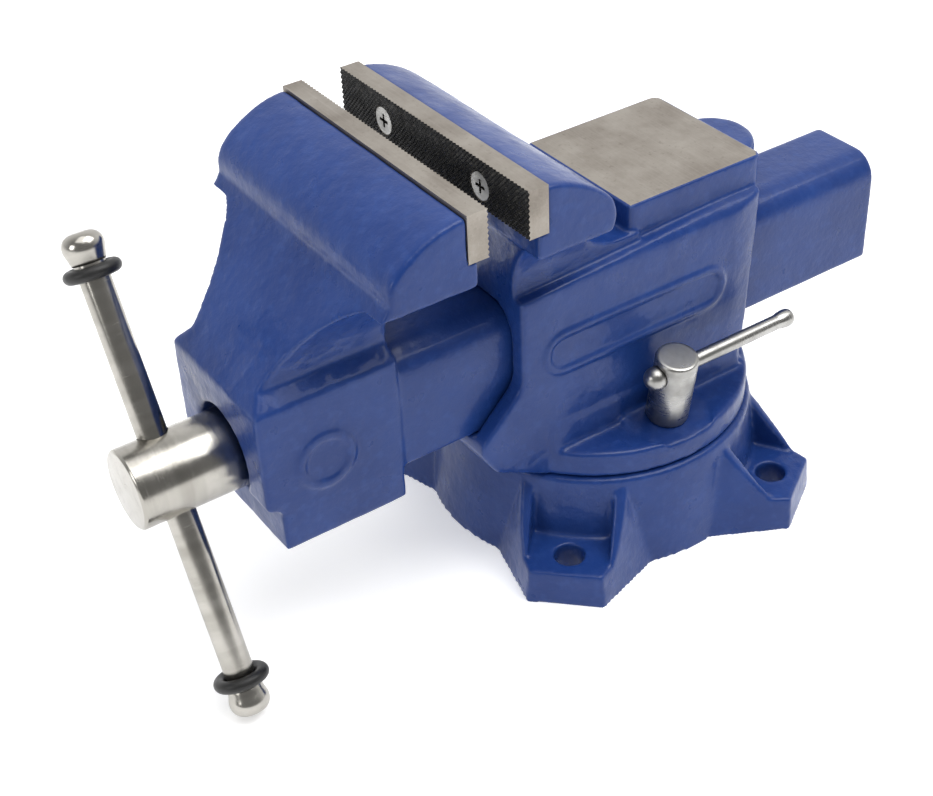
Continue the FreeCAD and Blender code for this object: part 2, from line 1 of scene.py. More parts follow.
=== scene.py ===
import json
import math
import bmesh
import bpy
import numpy as np
from mathutils import Matrix, Vector, noise


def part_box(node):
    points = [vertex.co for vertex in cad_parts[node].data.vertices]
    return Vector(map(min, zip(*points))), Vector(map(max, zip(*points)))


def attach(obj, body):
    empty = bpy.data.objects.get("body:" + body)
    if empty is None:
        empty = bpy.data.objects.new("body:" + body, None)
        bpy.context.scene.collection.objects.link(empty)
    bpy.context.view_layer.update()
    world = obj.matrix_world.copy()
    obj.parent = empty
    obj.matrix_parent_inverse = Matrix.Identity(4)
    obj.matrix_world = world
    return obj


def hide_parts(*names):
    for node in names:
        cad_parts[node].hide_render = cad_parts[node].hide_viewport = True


# Looks of the bench vise: sand-cast skins on the castings, serrated jaw plates, turned steel
# pieces, a threaded screw and procedural materials. Everything is in metres, in the CAD frame.

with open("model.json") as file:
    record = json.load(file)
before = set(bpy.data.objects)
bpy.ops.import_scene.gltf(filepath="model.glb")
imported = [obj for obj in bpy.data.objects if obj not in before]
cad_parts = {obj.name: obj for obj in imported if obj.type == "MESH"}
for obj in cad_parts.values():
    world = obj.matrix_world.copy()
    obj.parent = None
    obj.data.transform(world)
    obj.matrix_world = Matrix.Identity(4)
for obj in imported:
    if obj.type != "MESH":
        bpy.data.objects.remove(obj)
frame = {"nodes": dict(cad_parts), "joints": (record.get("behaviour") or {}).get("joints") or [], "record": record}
NODES = frame["nodes"]
JOINTS = {joint["name"]: joint for joint in frame["joints"]}
BODY_OF = {}
for body_name, members in frame["record"]["behaviour"]["bodies"].items():
    for member in members:
        BODY_OF[member] = body_name
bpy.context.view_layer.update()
MM = 0.001
DARK_SIDE = (0.77, -0.55, 0.32)    # where the studio is unlit, which puts dark bands in bare steel
BODY_SIDE = 41.5 * MM              # faces that carry the plain raised frames
BOX_SIDE = 33.4 * MM
SHAFT_RADIUS = 11.0 * MM           # threaded part of the main screw
THREAD_DEPTH = 2.6 * MM
LEVER_RADIUS = 3.2 * MM
TOOTH_DEPTH = 0.75 * MM
FLOOR_REACH = 12.0


# ---------------------------------------------------------------- materials
def srgb(red, green, blue):
    """Linear colour from display values 0 to 255."""
    values = []
    for value in (red, green, blue):
        share = value / 255
        values.append(share / 12.92 if share <= 0.04045 else ((share + 0.055) / 1.055) ** 2.4)
    return (*values, 1.0)


class Surface:
    """A Principled material whose colour, roughness and bump come from patterns in object space."""

    def __init__(self, name, **constants):
        self.material = bpy.data.materials.new(name)
        self.material.use_nodes = True
        self.tree = self.material.node_tree
        self.shader = self.tree.nodes["Principled BSDF"]
        for socket, value in constants.items():
            self.shader.inputs[socket.replace("_", " ")].default_value = value
        self.place = self.tree.nodes.new("ShaderNodeTexCoord").outputs["Object"]

    def add(self, kind, **inputs):
        made = self.tree.nodes.new(kind)
        for socket, value in inputs.items():
            target = made.inputs[socket.replace("_", " ")]
            if isinstance(value, bpy.types.NodeSocket):
                self.tree.links.new(value, target)
            else:
                target.default_value = value
        return made

    def stretched(self, stretch):
        mapping = self.add("ShaderNodeMapping", Vector=self.place, Scale=stretch)
        return mapping.outputs["Vector"]

    def noise(self, scale, detail=3.0, roughness=0.5, stretch=None):
        place = self.stretched(stretch) if stretch else self.place
        made = self.add("ShaderNodeTexNoise", Vector=place, Scale=scale, Detail=detail, Roughness=roughness)
        return made.outputs["Fac"]

    def between(self, value, low, high, to_low=0.0, to_high=1.0):
        made = self.add("ShaderNodeMapRange", Value=value, From_Min=low, From_Max=high,
                        To_Min=to_low, To_Max=to_high)
        return made.outputs["Result"]

    def mix(self, share, first, second):
        made = self.tree.nodes.new("ShaderNodeMix")
        made.data_type = "RGBA"
        for index, value in ((0, share), (6, first), (7, second)):
            if isinstance(value, bpy.types.NodeSocket):
                self.tree.links.new(value, made.inputs[index])
            else:
                made.inputs[index].default_value = value
        return made.outputs[2]

    def sum(self, first, second, weight=1.0):
        made = self.tree.nodes.new("ShaderNodeMath")
        made.operation = "MULTIPLY_ADD"
        self.tree.links.new(second, made.inputs[0])
        made.inputs[1].default_value = weight
        self.tree.links.new(first, made.inputs[2])
        return made.outputs["Value"]

    def edges(self):
        """How convex the surface is: about 0.5 on a flat, higher on an outer edge."""
        return self.tree.nodes.new("ShaderNodeNewGeometry").outputs["Pointiness"]

    def set(self, colour=None, roughness=None, height=None, distance=0.0001, strength=1.0):
        if colour is not None:
            self.tree.links.new(colour, self.shader.inputs["Base Color"])
        if roughness is not None:
            self.tree.links.new(roughness, self.shader.inputs["Roughness"])
        if height is not None:
            bump = self.add("ShaderNodeBump", Height=height, Distance=distance, Strength=strength)
            self.tree.links.new(bump.outputs["Normal"], self.shader.inputs["Normal"])
        return self.material


def casting_paint():
    """Thick glossy blue enamel over a rough casting."""
    s = Surface("casting_paint", Coat_Weight=0.16, Coat_Roughness=0.07,
                Specular_IOR_Level=0.22)
    broad = s.between(s.noise(26, 4), 0.35, 0.65)
    fine = s.between(s.noise(230, 3), 0.3, 0.7)
    colour = s.mix(broad, srgb(22, 50, 110), srgb(30, 59, 122))
    colour = s.mix(s.between(fine, 0.55, 1.0, 0.0, 0.35), colour, srgb(42, 71, 134))
    # Lighter blue on convex edges: partly thinner paint over the edges, partly a painted highlight along them
    colour = s.mix(s.between(s.edges(), 0.53, 0.62, 0.0, 0.55), colour, srgb(76, 102, 160))
    rough = s.between(s.noise(90, 3), 0.3, 0.7, 0.26, 0.42)
    height = s.sum(s.noise(330, 3), s.noise(1300, 2), 0.25)
    return s.set(colour, rough, height, distance=0.00028, strength=0.8)


def turned_steel(name, dark, light, rough_low, rough_high):
    """Steel turned about the piece's own Z: fine rings and a few brighter bands."""
    s = Surface(name, Metallic=1.0)
    rings = s.noise(60, 4, 0.7, stretch=(0.6, 0.6, 45.0))
    bands = s.between(s.noise(9, 3, 0.6, stretch=(0.5, 0.5, 9.0)), 0.3, 0.7)
    mottle = s.between(s.noise(140, 4), 0.35, 0.7)
    colour = s.mix(bands, dark, light)
    colour = s.mix(s.between(mottle, 0.4, 1.0, 0.0, 0.3), colour, dark)
    rough = s.between(s.sum(rings, mottle, 0.3), 0.4, 0.9, rough_low, rough_high)
    return s.set(colour, rough, rings, distance=0.00003, strength=0.5)


def milled_steel(name, stretch):
    """Bare steel finished by a cutter, with long fine scratches along one axis and dull staining."""
    s = Surface(name, Metallic=1.0)
    scratches = s.noise(70, 5, 0.75, stretch=stretch)
    stain = s.between(s.noise(45, 5, 0.6), 0.35, 0.68)
    specks = s.between(s.noise(520, 3), 0.62, 0.78)
    colour = s.mix(stain, srgb(158, 152, 144), srgb(134, 127, 119))
    colour = s.mix(s.between(scratches, 0.45, 0.8, 0.0, 0.4), colour, srgb(182, 177, 170))
    colour = s.mix(s.between(specks, 0.0, 1.0, 0.0, 0.45), colour, srgb(112, 102, 94))
    rough = s.between(s.sum(scratches, stain, 0.4), 0.4, 1.0, 0.42, 0.60)
    return s.set(colour, rough, s.sum(scratches, specks, -0.5), distance=0.00004, strength=0.6)


def black_oxide(name, light):
    """Oiled black finish on hardened steel."""
    s = Surface(name, Metallic=0.55)
    worn = s.between(s.noise(700, 3), 0.5, 0.75)
    colour = s.mix(worn, srgb(24, 24, 25), light)
    rough = s.between(s.noise(300, 3), 0.3, 0.7, 0.38, 0.58)
    return s.set(colour, rough, s.noise(1500, 2), distance=0.00004, strength=0.6)


def zinc_plate(name):
    """Bright zinc over a drawn or turned surface, slightly cloudy."""
    s = Surface(name, Metallic=1.0)
    cloud = s.between(s.noise(110, 4), 0.35, 0.65)
    rings = s.noise(50, 3, 0.6, stretch=(0.8, 0.8, 30.0))
    colour = s.mix(cloud, srgb(172, 171, 168), srgb(142, 141, 138))
    rough = s.between(s.sum(rings, cloud, 0.4), 0.4, 1.0, 0.22, 0.40)
    return s.set(colour, rough, s.sum(rings, s.noise(900, 2), 0.6), distance=0.00003, strength=0.5)


def rubber():
    s = Surface("bumper_rubber", Specular_IOR_Level=0.45)
    dust = s.between(s.noise(260, 4), 0.5, 0.8, 0.0, 0.5)
    colour = s.mix(dust, srgb(17, 17, 18), srgb(46, 45, 44))
    rough = s.between(s.noise(120, 3), 0.3, 0.7, 0.34, 0.52)
    return s.set(colour, rough, s.noise(1100, 3), distance=0.00005, strength=0.5)


def floor_paper():
    s = Surface("floor_paper", Specular_IOR_Level=0.2, Emission_Strength=0.38)
    s.shader.inputs["Emission Color"].default_value = (1.0, 1.0, 1.0, 1.0)
    grain = s.noise(400, 3)
    colour = s.mix(grain, srgb(250, 250, 250), srgb(253, 253, 253))
    rough = s.between(grain, 0.3, 0.7, 0.6, 0.7)
    return s.set(colour, rough, grain, distance=0.00002, strength=0.2)


PAINT = casting_paint()
MILLED_ALONG_X = milled_steel("milled_along_jaw", (0.5, 14.0, 14.0))
GROUND_ANVIL = milled_steel("ground_anvil", (0.5, 16.0, 3.0))
BRIGHT = turned_steel("polished_steel", srgb(146, 143, 136), srgb(184, 181, 175), 0.16, 0.28)
DULL = turned_steel("turned_steel", srgb(140, 136, 130), srgb(172, 168, 162), 0.30, 0.48)
ZINC = zinc_plate("zinc_plate")
TEETH = black_oxide("jaw_teeth_black", srgb(70, 68, 64))
OXIDE = black_oxide("black_oxide", srgb(90, 88, 86))
RUBBER = rubber()


# ---------------------------------------------------------------- mesh helpers
def new_object(name, mesh, material, sharp_degrees=35.0):
    piece = bpy.data.objects.new(name, mesh)
    bpy.context.scene.collection.objects.link(piece)
    mesh.materials.clear()
    mesh.materials.append(material)
    mesh.shade_smooth()
    mesh.set_sharp_from_angle(angle=math.radians(sharp_degrees))
    return piece


def stand_in(piece, node):
    """piece is what shows for this CAD node, on the node's own body."""
    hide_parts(node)
    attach(piece, BODY_OF[node])
    return piece


def axis_matrix(origin, axis):
    """Placement whose Z lies along axis."""
    turn = Vector((0, 0, 1)).rotation_difference(Vector(axis).normalized())
    return Matrix.Translation(origin) @ turn.to_matrix().to_4x4()


def softened(profile, radius, steps=3):
    """Profile of (along, radius) points with each inner corner replaced by a small arc."""
    points = [Vector(p) for p in profile]
    result = [points[0]]
    for before, corner, after in zip(points, points[1:], points[2:]):
        into, out = (before - corner), (after - corner)
        cut = min(radius, into.length * 0.45, out.length * 0.45)
        start, end = corner + into.normalized() * cut, corner + out.normalized() * cut
        for i in range(steps + 1):
            t = i / steps
            result.append(start * (1 - t) ** 2 + corner * 2 * t * (1 - t) + end * t ** 2)
    result.append(points[-1])
    return [(p.x, p.y) for p in result]


def lathe_mesh(name, profile, segments=96):
    """Closed mesh turned about Z from (along, radius) points that start and end on the axis."""
    bm = bmesh.new()
    rings = []
    for along, radius in profile:
        if radius < 1e-7:
            rings.append([bm.verts.new((0, 0, along))])
            continue
        ring = []
        for i in range(segments):
            angle = 2 * math.pi * i / segments
            ring.append(bm.verts.new((radius * math.cos(angle), radius * math.sin(angle), along)))
        rings.append(ring)
    for low, high in zip(rings, rings[1:]):
        for i in range(segments):
            j = (i + 1) % segments
            corners = [low[i % len(low)], low[j % len(low)], high[j % len(high)], high[i % len(high)]]
            unique = list(dict.fromkeys(corners))
            if len(unique) > 2:
                bm.faces.new(unique)
    bmesh.ops.recalc_face_normals(bm, faces=bm.faces)
    mesh = bpy.data.meshes.new(name)
    bm.to_mesh(mesh)
    bm.free()
    return mesh


def ring_mesh(name, mean, section, segments=96):
    """Closed mesh turned about Z from a closed section of (along, radius offset) points."""
    bm = bmesh.new()
    rings = []
    for i in range(segments):
        angle = 2 * math.pi * i / segments
        ring = []
        for along, offset in section:
            radius = mean + offset
            ring.append(bm.verts.new((radius * math.cos(angle), radius * math.sin(angle), along)))
        rings.append(ring)
    for i in range(segments):
        here, there = rings[i], rings[(i + 1) % segments]
        for j in range(len(section)):
            k = (j + 1) % len(section)
            bm.faces.new((here[j], there[j], there[k], here[k]))
    bmesh.ops.recalc_face_normals(bm, faces=bm.faces)
    mesh = bpy.data.meshes.new(name)
    bm.to_mesh(mesh)
    bm.free()
    return mesh


def subtract(piece, tool_mesh, placement):
    """Cut a tool out of a piece and drop the tool."""
    tool = bpy.data.objects.new("cutter", tool_mesh)
    bpy.context.scene.collection.objects.link(tool)
    tool.matrix_world = placement
    cut = piece.modifiers.new("cut", "BOOLEAN")
    cut.operation = "DIFFERENCE"
    cut.solver = "EXACT"
    cut.object = tool
    apply_modifiers(piece)
    bpy.data.objects.remove(tool)


def apply_modifiers(piece):
    bpy.context.view_layer.update()
    graph = bpy.context.evaluated_depsgraph_get()
    mesh = bpy.data.meshes.new_from_object(piece.evaluated_get(graph))
    piece.modifiers.clear()
    piece.data = mesh


def rod_mesh(length, radius, segments=64):
    return lathe_mesh("rod", [(-length / 2, 0), (-length / 2, radius), (length / 2, radius), (length / 2, 0)],
                      segments)


# ---------------------------------------------------------------- castings
def read_points(mesh):
    points = np.empty(len(mesh.vertices) * 3)
    mesh.vertices.foreach_get("co", points)
    return points.reshape(-1, 3)


def read_edges(mesh):
    edges = np.empty(len(mesh.edges) * 2, np.int64)
    mesh.edges.foreach_get("vertices", edges)
    return edges.reshape(-1, 2)


def relaxed(points, edges, weight, passes):
    """Move each point towards the mean of its neighbours, which rounds the casting's edges."""
    first = np.concatenate((edges[:, 0], edges[:, 1]))
    second = np.concatenate((edges[:, 1], edges[:, 0]))
    count = np.maximum(np.bincount(first, minlength=len(points)), 1)
    for _ in range(passes):
        mean = np.empty_like(points)
        for axis in range(3):
            mean[:, axis] = np.bincount(first, points[second, axis], len(points)) / count
        points = points + (mean - points) * weight[:, None]
    return points


def sand_skin(points, normals, amount):
    """Low swells and close bumps of a sand-cast surface, as offsets along the normals."""
    offsets = np.empty(len(points))
    for i, point in enumerate(points):
        place = Vector(point)
        swell = noise.noise(place / (9 * MM))
        close = noise.noise(place / (3.4 * MM) + Vector((7, 3, 5)))
        offsets[i] = swell * 0.16 + close * 0.09
    return points + normals * (offsets * amount)[:, None] * MM


def read_normals(mesh):
    normals = np.empty(len(mesh.vertices) * 3)
    mesh.vertices.foreach_get("normal", normals)
    return normals.reshape(-1, 3)


def casting(node, machined, skin, relief=(), voxel=0.8 * MM, passes=8, triangles=190000):
    """The CAD casting with rounded edges and a sand-cast skin.

    machined(points) is 1 where a cutter left a flat that stays crisp, and skin(points) is how
    rough the surface is, 0 to 1. relief holds extra closed meshes that are cast on.
    """
    mesh = NODES[node].data.copy()
    mesh.name = node + "_casting"
    piece = bpy.data.objects.new(node + "_casting", mesh)
    bpy.context.scene.collection.objects.link(piece)
    if relief:
        bm = bmesh.new()
        bm.from_mesh(mesh)
        for extra in relief:
            bm.from_mesh(extra)
        bm.to_mesh(mesh)
        bm.free()
    remesh = piece.modifiers.new("skin", "REMESH")
    remesh.mode = "VOXEL"
    remesh.voxel_size = voxel * 1
    apply_modifiers(piece)
    mesh = piece.data
    points = read_points(mesh)
    flat = machined(points)
    points = relaxed(points, read_edges(mesh), 0.5 * (1 - flat), passes)
    mesh.vertices.foreach_set("co", points.ravel())
    mesh.update()
    points = sand_skin(points, read_normals(mesh), skin(points) * (1 - flat))
    mesh.vertices.foreach_set("co", points.ravel())
    mesh.update()
    mesh.calc_loop_triangles()
    thin = piece.modifiers.new("thin", "DECIMATE")
    thin.ratio = min(1.0, triangles / len(mesh.loop_triangles))
    apply_modifiers(piece)
    mesh = piece.data
    points = read_points(mesh)
    points[:, 2] = np.maximum(points[:, 2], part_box(node)[0].z)
    mesh.vertices.foreach_set("co", points.ravel())
    mesh.update()
    mesh.materials.clear()
    mesh.materials.append(PAINT)
    mesh.shade_smooth()
    return stand_in(piece, node)


def stadium_frame(half_length, half_height, width, depth, centre):
    """Raised frame with round ends in the YZ plane, standing out along X from centre."""
    bm = bmesh.new()
    steps = 24
    outlines = []
    for inset in (0.0, width):
        radius = half_height - inset
        straight = half_length - half_height
        ring = []
        for i in range(2 * steps + 2):
            half_turn = i // (steps + 1)
            angle = math.pi * ((i % (steps + 1)) / steps) - math.pi / 2 + math.pi * half_turn
            along = straight * (1 if half_turn == 0 else -1) + radius * math.cos(angle)
            ring.append((along, radius * math.sin(angle)))
        outlines.append(ring)
    levels = []
    for level in (-2 * MM, depth):
        for ring in outlines:
            levels.append([bm.verts.new((centre[0] + level, centre[1] + a, centre[2] + b)) for a, b in ring])
    low_out, low_in, high_out, high_in = levels
    count = len(low_out)
    for i in range(count):
        j = (i + 1) % count
        bm.faces.new((low_out[i], low_out[j], high_out[j], high_out[i]))
        bm.faces.new((low_in[j], low_in[i], high_in[i], high_in[j]))
        bm.faces.new((high_out[i], high_out[j], high_in[j], high_in[i]))
        bm.faces.new((low_out[j], low_out[i], low_in[i], low_in[j]))
    bmesh.ops.recalc_face_normals(bm, faces=bm.faces)
    mesh = bpy.data.meshes.new("relief")
    bm.to_mesh(mesh)
    bm.free()
    return mesh


def smoothstep(values, low, high):
    t = np.clip((values - low) / (high - low), 0, 1)
    return t * t * (3 - 2 * t)


def make_castings():
    mounts = {mount["name"]: mount for mount in frame["record"]["mounts"]}
    anvil_top = mounts["anvil_face"]["pos_m"][2]

    def base_machined(points):
        return 1 - smoothstep(points[:, 2], 0.3 * MM, 1.5 * MM)

    def body_machined(points):
        behind = points[:, 1] > -12 * MM
        return behind * smoothstep(points[:, 2], anvil_top - 1.2 * MM, anvil_top - 0.6 * MM)

    def jaw_machined(points):
        return np.zeros(len(points))

    def plain_skin(points):
        return np.ones(len(points))

    def jaw_skin(points):
        return 1 - 0.6 * smoothstep(points[:, 1], -118 * MM, -108 * MM) * (points[:, 2] < 128 * MM)

    casting("swivel_base", base_machined, plain_skin)
    panel = stadium_frame(47 * MM, 10 * MM, 2.6 * MM, 1.2 * MM, (BODY_SIDE, -9 * MM, 104 * MM))
    body = casting("static_body", body_machined, plain_skin, [panel])
    body.data.materials.append(GROUND_ANVIL)
    for face in body.data.polygons:
        on_anvil = face.center.y > -12 * MM and face.center.z > anvil_top - 0.3 * MM
        if on_anvil and face.normal.z > 0.93:
            face.material_index = 1
    ring = stadium_frame(12.5 * MM, 12.4 * MM, 2.8 * MM, 1.1 * MM, (BOX_SIDE, -152 * MM, 96 * MM))
    casting("moving_jaw", jaw_machined, jaw_skin, [ring])


# ---------------------------------------------------------------- jaw plates
def serrated_plate(node, towards):
    """Steel plate whose gripping face is cut into small diamond pyramids; towards is +1 or -1 in Y."""
    low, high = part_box(node)
    depth = TOOTH_DEPTH
    columns = 2 * round((high.x - low.x) / (2.1 * MM))
    rows = 2 * round((high.z - low.z) / (2.2 * MM))
    face_y = high.y if towards > 0 else low.y
    back_y = low.y if towards > 0 else high.y
    bm = bmesh.new()
    grid = []
    for i in range(columns + 1):
        x = low.x + (high.x - low.x) * i / columns
        column = []
        for j in range(rows + 1):
            z = low.z + (high.z - low.z) * j / rows
            sunk = 0 if (i + j) % 2 == 0 else depth
            blunt = 0.12 * MM if sunk == 0 else 0
            column.append(bm.verts.new((x, face_y - towards * (sunk + blunt), z)))
        grid.append(column)
    for i in range(columns):
        for j in range(rows):
            a, b, c, d = grid[i][j], grid[i + 1][j], grid[i + 1][j + 1], grid[i][j + 1]
            if (i + j) % 2 == 0:
                bm.faces.new((a, b, d))
                bm.faces.new((b, c, d))
            else:
                bm.faces.new((a, b, c))
                bm.faces.new((a, c, d))
    toothed = list(bm.faces)
    corner = [bm.verts.new((x, back_y, z)) for x, z in
              ((low.x, low.z), (high.x, low.z), (high.x, high.z), (low.x, high.z))]
    bm.faces.new(corner)
    bottom = [grid[i][0] for i in range(columns + 1)]
    top = [grid[i][rows] for i in range(columns + 1)]
    left = grid[0]
    right = grid[columns]
    bm.faces.new(bottom + [corner[1], corner[0]])
    bm.faces.new(top + [corner[2], corner[3]])
    bm.faces.new(left + [corner[3], corner[0]])
    bm.faces.new(right + [corner[2], corner[1]])
    bmesh.ops.recalc_face_normals(bm, faces=bm.faces)
    for face in toothed:
        face.material_index = 1
    mesh = bpy.data.meshes.new(node + "_toothed")
    bm.to_mesh(mesh)
    bm.free()
    plate = bpy.data.objects.new(node + "_toothed", mesh)
    bpy.context.scene.collection.objects.link(plate)
    mesh.materials.append(MILLED_ALONG_X)
    mesh.materials.append(TEETH)
    screws = node.replace("plate", "screws")
    screw_low, screw_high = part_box(screws)
    head = (screw_high.z - screw_low.z) / 2
    sink = lathe_mesh("sink", [(-2 * MM, 0), (-2 * MM, head + 0.5 * MM), (0.9 * MM, head + 0.5 * MM),
                               (4.0 * MM, 3.3 * MM), (12 * MM, 3.3 * MM), (12 * MM, 0)], 48)
    for x in (screw_low.x + head, screw_high.x - head):
        place = axis_matrix((x, face_y, (screw_low.z + screw_high.z) / 2), (0, -towards, 0))
        subtract(plate, sink.copy(), place)
    return stand_in(plate, node)


# ---------------------------------------------------------------- turned pieces
def turned(node, suffix, profile, origin, axis, material, segments=96, soft=0.4 * MM):
    mesh = lathe_mesh(node + suffix, softened(profile, soft), segments)
    piece = new_object(node + suffix, mesh, material)
    piece.matrix_world = axis_matrix(origin, axis)
    return piece


def make_screw():
    """Drilled head and threaded shaft of the main screw."""
    low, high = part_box("spindle")
    centre = (low + high) / 2
    radius = (high.x - low.x) / 2
    pivot = Vector(JOINTS["screw_turn"]["pos_m"])
    axis = Vector(JOINTS["handle_slide"]["axis"]).normalized()
    origin = Vector((0, low.y, centre.z))
    washer_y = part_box("thrust_washer")[0].y
    head_length = washer_y - low.y
    shaft = SHAFT_RADIUS
    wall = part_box("retainer_collar")[1].y + 4 * MM - low.y
    profile = [(0, 0), (0, radius - 1.0 * MM), (0.9 * MM, radius), (head_length, radius),
               (head_length, shaft), (wall, shaft), (wall, 0)]
    head = turned("spindle", "_head", profile, origin, (0, 1, 0), BRIGHT, 128, 0.3 * MM)
    hole = rod_mesh(60 * MM, (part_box("handle_bar")[1].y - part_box("handle_bar")[0].y) / 2 + 0.25 * MM)
    subtract(head, hole, axis_matrix(pivot, axis))
    head.data.set_sharp_from_angle(angle=math.radians(35))
    stand_in(head, "spindle")
    thread = thread_mesh("spindle_thread", wall - 0.5 * MM, high.y - low.y, shaft)
    piece = new_object("spindle_thread", thread, DULL, 30)
    piece.matrix_world = axis_matrix(origin, (0, 1, 0))
    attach(piece, BODY_OF["spindle"])


def thread_mesh(name, start, end, crest):
    """Trapezoid thread about Z as one closed skin, clipped to start and end."""
    pitch = 2 * math.pi / abs(frame["record"]["behaviour"]["couplings"][0]["ratio"])
    root = crest - THREAD_DEPTH
    shape = [(0.0, crest), (0.34, crest), (0.48, root), (0.86, root)]
    segments = 64
    turns = math.ceil((end - start) / pitch) + 1
    bm = bmesh.new()
    rows = []
    for turn in range(turns + 1):
        for share, radius in shape:
            row = []
            for i in range(segments):
                angle = 2 * math.pi * i / segments
                along = start + (turn - 1 + share + i / segments) * pitch
                along = min(max(along, start), end)
                row.append(bm.verts.new((radius * math.cos(angle), radius * math.sin(angle), along)))
            rows.append(row)
    for k in range(len(rows) - 1):
        for i in range(segments - 1):
            bm.faces.new((rows[k][i], rows[k][i + 1], rows[k + 1][i + 1], rows[k + 1][i]))
    step = len(shape)
    for k in range(len(rows) - step - 1):
        bm.faces.new((rows[k][segments - 1], rows[k + step][0],
                      rows[k + step + 1][0], rows[k + 1][segments - 1]))
    bmesh.ops.remove_doubles(bm, verts=bm.verts, dist=1e-7)
    bmesh.ops.dissolve_degenerate(bm, edges=bm.edges, dist=1e-7)
    open_edges = [edge for edge in bm.edges if len(edge.link_faces) == 1]
    bmesh.ops.holes_fill(bm, edges=open_edges, sides=0)
    bmesh.ops.recalc_face_normals(bm, faces=bm.faces)
    mesh = bpy.data.meshes.new(name)
    bm.to_mesh(mesh)
    bm.free()
    return mesh


def make_handle():
    """Sliding bar with its ball ends and bumper rings."""
    pivot = Vector(JOINTS["screw_turn"]["pos_m"])
    axis = Vector(JOINTS["handle_slide"]["axis"]).normalized()
    low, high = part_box("handle_bar")
    radius = (high.y - low.y) / 2
    lean = math.hypot(axis.x, axis.y)
    top = (high.z - pivot.z - radius * lean) / axis.z
    bottom = (pivot.z - low.z - radius * lean) / axis.z
    profile = [(-bottom, 0), (-bottom, radius), (top, radius), (top, 0)]
    stand_in(turned("handle_bar", "_turned", profile, pivot, axis, BRIGHT, 64), "handle_bar")
    for name, end, sign in (("upper", top, 1), ("lower", bottom, -1)):
        knob = [(-9.4 * MM, 0), (-9.4 * MM, 6.6 * MM), (-8.6 * MM, 6.9 * MM), (-6.2 * MM, 7.5 * MM),
                (-4.2 * MM, 8.15 * MM), (-2.6 * MM, 8.25 * MM), (-0.9 * MM, 7.9 * MM), (0.9 * MM, 6.8 * MM),
                (2.0 * MM, 5.0 * MM), (2.4 * MM, 3.2 * MM), (2.4 * MM, 0)]
        node = "handle_knob_" + name
        origin = pivot + axis * sign * end
        stand_in(turned(node, "_turned", knob, origin, axis * sign, BRIGHT, 64, 1.2 * MM), node)
        node = "handle_ring_" + name
        ring_low, ring_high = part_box(node)
        centre = (ring_low + ring_high) / 2
        outer = (ring_high.y - ring_low.y) / 2
        thick = outer - radius
        section = []
        for i in range(20):
            angle = 2 * math.pi * i / 20
            section.append((thick / 2 * math.sin(angle), thick / 2 * math.cos(angle)))
        piece = new_object(node + "_moulded", ring_mesh(node, outer - thick / 2, section), RUBBER)
        piece.matrix_world = axis_matrix(centre, axis)
        stand_in(piece, node)


def half_circle(radius):
    """Profile of a ball about its own centre."""
    points = [(-radius, 0.0)]
    for i in range(1, 24):
        angle = math.pi * i / 24
        points.append((-radius * math.cos(angle), radius * math.sin(angle)))
    return points + [(radius, 0.0)]


def make_lock(side):
    """Round nut, its sliding lever and the ball that nests in the nut's side."""
    joint = JOINTS["lock_nut_" + side + "_turn"]
    foot = Vector(joint["pos_m"])
    axis = Vector(joint["axis"]).normalized()
    axis = axis if axis.z > 0 else -axis
    low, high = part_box("lock_nut_" + side)
    radius = (high.y - low.y) / 2
    lean = abs(axis.x)
    length = (high.z - low.z - 2 * radius * lean) / axis.z + 0.2 * MM
    profile = [(0, 0), (0, radius - 0.8 * MM), (0.8 * MM, radius), (length - 1.3 * MM, radius),
               (length - 0.3 * MM, radius - 0.5 * MM), (length, radius - 1.5 * MM), (length, 0)]
    nut = turned("lock_nut_" + side, "_turned", profile, foot, axis, ZINC, 96, 0.35 * MM)
    lever_low, lever_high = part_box("lock_lever_" + side)
    knob = (lever_high.x - lever_low.x) / 2
    middle = (lever_low + lever_high) / 2
    bar = LEVER_RADIUS
    subtract(nut, rod_mesh(40 * MM, bar + 0.35 * MM, 48),
             axis_matrix((middle.x, foot.y, middle.z), (0, 1, 0)))
    ball_low, ball_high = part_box("lock_lever_ball_" + side)
    ball = (ball_high.x - ball_low.x) / 2
    place = Vector((middle.x, ball_low.y + ball, middle.z))
    subtract(nut, lathe_mesh("cup", half_circle(ball + 0.3 * MM), 48), axis_matrix(place, (0, 1, 0)))
    nut.data.set_sharp_from_angle(angle=math.radians(35))
    stand_in(nut, "lock_nut_" + side)
    start = Vector((middle.x, lever_low.y, middle.z))
    span = lever_high.y - lever_low.y
    profile = [(0, 0), (0, bar), (span - 8.2 * MM, bar), (span - 6.6 * MM, knob * 0.93),
               (span - 4.6 * MM, knob), (span - 2.2 * MM, knob), (span - 0.8 * MM, knob * 0.86),
               (span, knob * 0.6), (span, 0)]
    lever = turned("lock_lever_" + side, "_turned", profile, start, (0, 1, 0), ZINC, 48, 0.7 * MM)
    stand_in(lever, "lock_lever_" + side)
    profile = half_circle(ball)[:22]
    profile.append((profile[-1][0], 0))
    piece = turned("lock_lever_ball_" + side, "_turned", profile, place, (0, 1, 0), ZINC, 48, 0.1 * MM)
    stand_in(piece, "lock_lever_ball_" + side)


# ---------------------------------------------------------------- pieces that keep the CAD shape
def finish_cad_nodes():
    materials = {
        "rear_jaw_screws": ZINC, "front_jaw_screws": ZINC, "spindle_nut": DULL, "spindle_nut_bolt": OXIDE,
        "lock_bolt_right": DULL, "lock_bolt_left": DULL, "thrust_washer": DULL, "retainer_washer": DULL,
        "retainer_spring": OXIDE, "retainer_collar": DULL, "retainer_pin": DULL,
    }
    for node, material in materials.items():
        mesh = NODES[node].data
        mesh.materials.clear()
        mesh.materials.append(material)
        edge = NODES[node].modifiers.new("edge", "BEVEL")
        edge.width = 0.15 * MM
        edge.segments = 2
        edge.limit_method = "ANGLE"
        edge.angle_limit = math.radians(40)


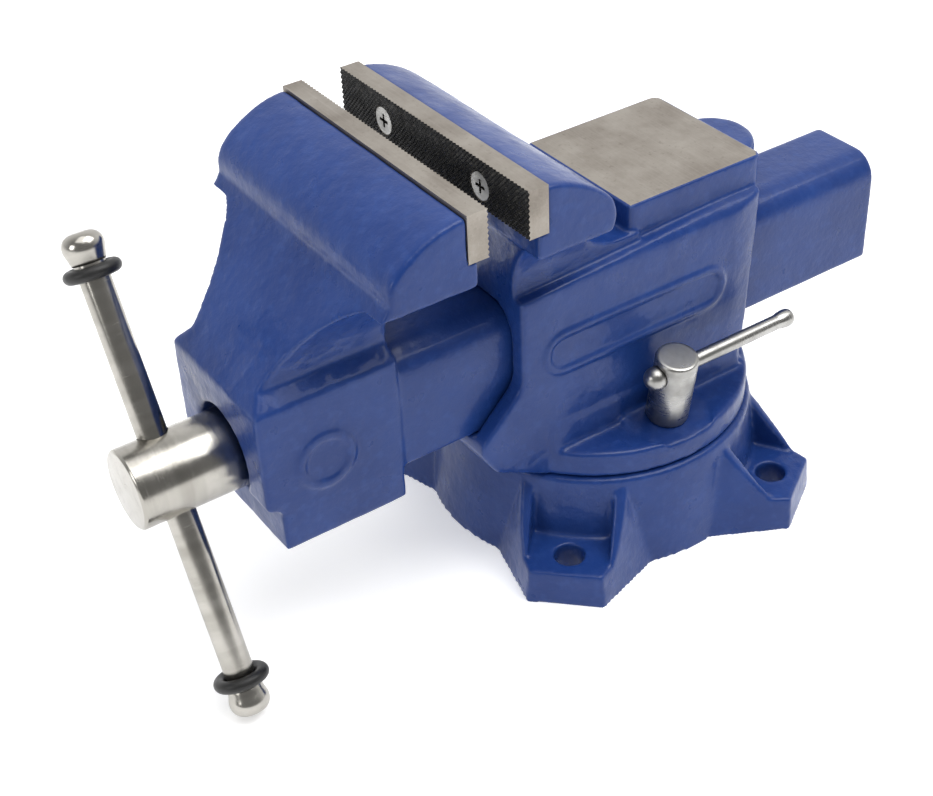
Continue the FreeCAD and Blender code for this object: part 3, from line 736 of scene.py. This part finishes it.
# ---------------------------------------------------------------- studio
def make_studio():
    floor_mesh = bpy.data.meshes.new("floor")
    reach = FLOOR_REACH
    corners = [(-reach, -reach, 0), (reach, -reach, 0), (reach, reach, 0), (-reach, reach, 0)]
    floor_mesh.from_pydata(corners, [], [(0, 1, 2, 3)])
    floor = bpy.data.objects.new("floor", floor_mesh)
    bpy.context.scene.collection.objects.link(floor)
    floor_mesh.materials.append(floor_paper())

    world = bpy.data.worlds.new("studio")
    world.use_nodes = True
    tree = world.node_tree
    direction = tree.nodes.new("ShaderNodeTexCoord").outputs["Generated"]
    facing = tree.nodes.new("ShaderNodeVectorMath")
    facing.operation = "DOT_PRODUCT"
    tree.links.new(direction, facing.inputs[0])
    facing.inputs[1].default_value = DARK_SIDE
    shade = tree.nodes.new("ShaderNodeMapRange")
    tree.links.new(facing.outputs["Value"], shade.inputs["Value"])
    for socket, value in (("From Min", -0.55), ("From Max", 0.45), ("To Min", 1.2), ("To Max", 0.26)):
        shade.inputs[socket].default_value = value
    background = tree.nodes["Background"]
    background.inputs["Color"].default_value = (1.0, 1.0, 1.0, 1.0)
    tree.links.new(shade.outputs["Result"], background.inputs["Strength"])
    bpy.context.scene.world = world

    lamps = (
        ("key", (0.45, 0.45, 1.5), 1.1, 16.0),
        ("top", (0.15, -0.25, 1.8), 1.5, 13.0),
        ("strip", (0.05, -1.45, 0.65), 0.55, 4.0),
    )
    aim = Vector((0, -0.04, 0.10))
    for name, place, size, power in lamps:
        lamp = bpy.data.lights.new(name, "AREA")
        lamp.size = size
        lamp.energy = power
        holder = bpy.data.objects.new(name, lamp)
        bpy.context.scene.collection.objects.link(holder)
        holder.location = place
        holder.rotation_mode = "QUATERNION"
        holder.rotation_quaternion = (aim - Vector(place)).to_track_quat("-Z", "Y")
    bpy.context.scene.view_settings.view_transform = "Standard"


def make_camera():
    """Camera at azimuth 57.2, elevation 36.8 degrees, rolled 2.9 degrees, with a 64 mm lens."""
    azimuth, elevation, roll = math.radians(57.23), math.radians(36.81), math.radians(-2.94)
    back = Vector((math.sin(azimuth) * math.cos(elevation), -math.cos(azimuth) * math.cos(elevation),
                   math.sin(elevation)))
    right = Vector((math.cos(azimuth), math.sin(azimuth), 0))
    up = back.cross(right)
    right, up = (right * math.cos(roll) + up * math.sin(roll), up * math.cos(roll) - right * math.sin(roll))
    data = bpy.data.cameras.new("camera")
    data.lens = 64.09
    data.sensor_width = 36.0
    camera = bpy.data.objects.new("camera", data)
    bpy.context.scene.collection.objects.link(camera)
    turn = Matrix((right, up, back)).transposed().to_4x4()
    camera.matrix_world = Matrix.Translation((0.47265, -0.37095, 0.48641)) @ turn
    bpy.context.scene.camera = camera


make_camera()
make_castings()
serrated_plate("rear_jaw_plate", -1)
serrated_plate("front_jaw_plate", 1)
make_screw()
make_handle()
make_lock("right")
make_lock("left")
finish_cad_nodes()
make_studio()

bpy.context.view_layer.update()
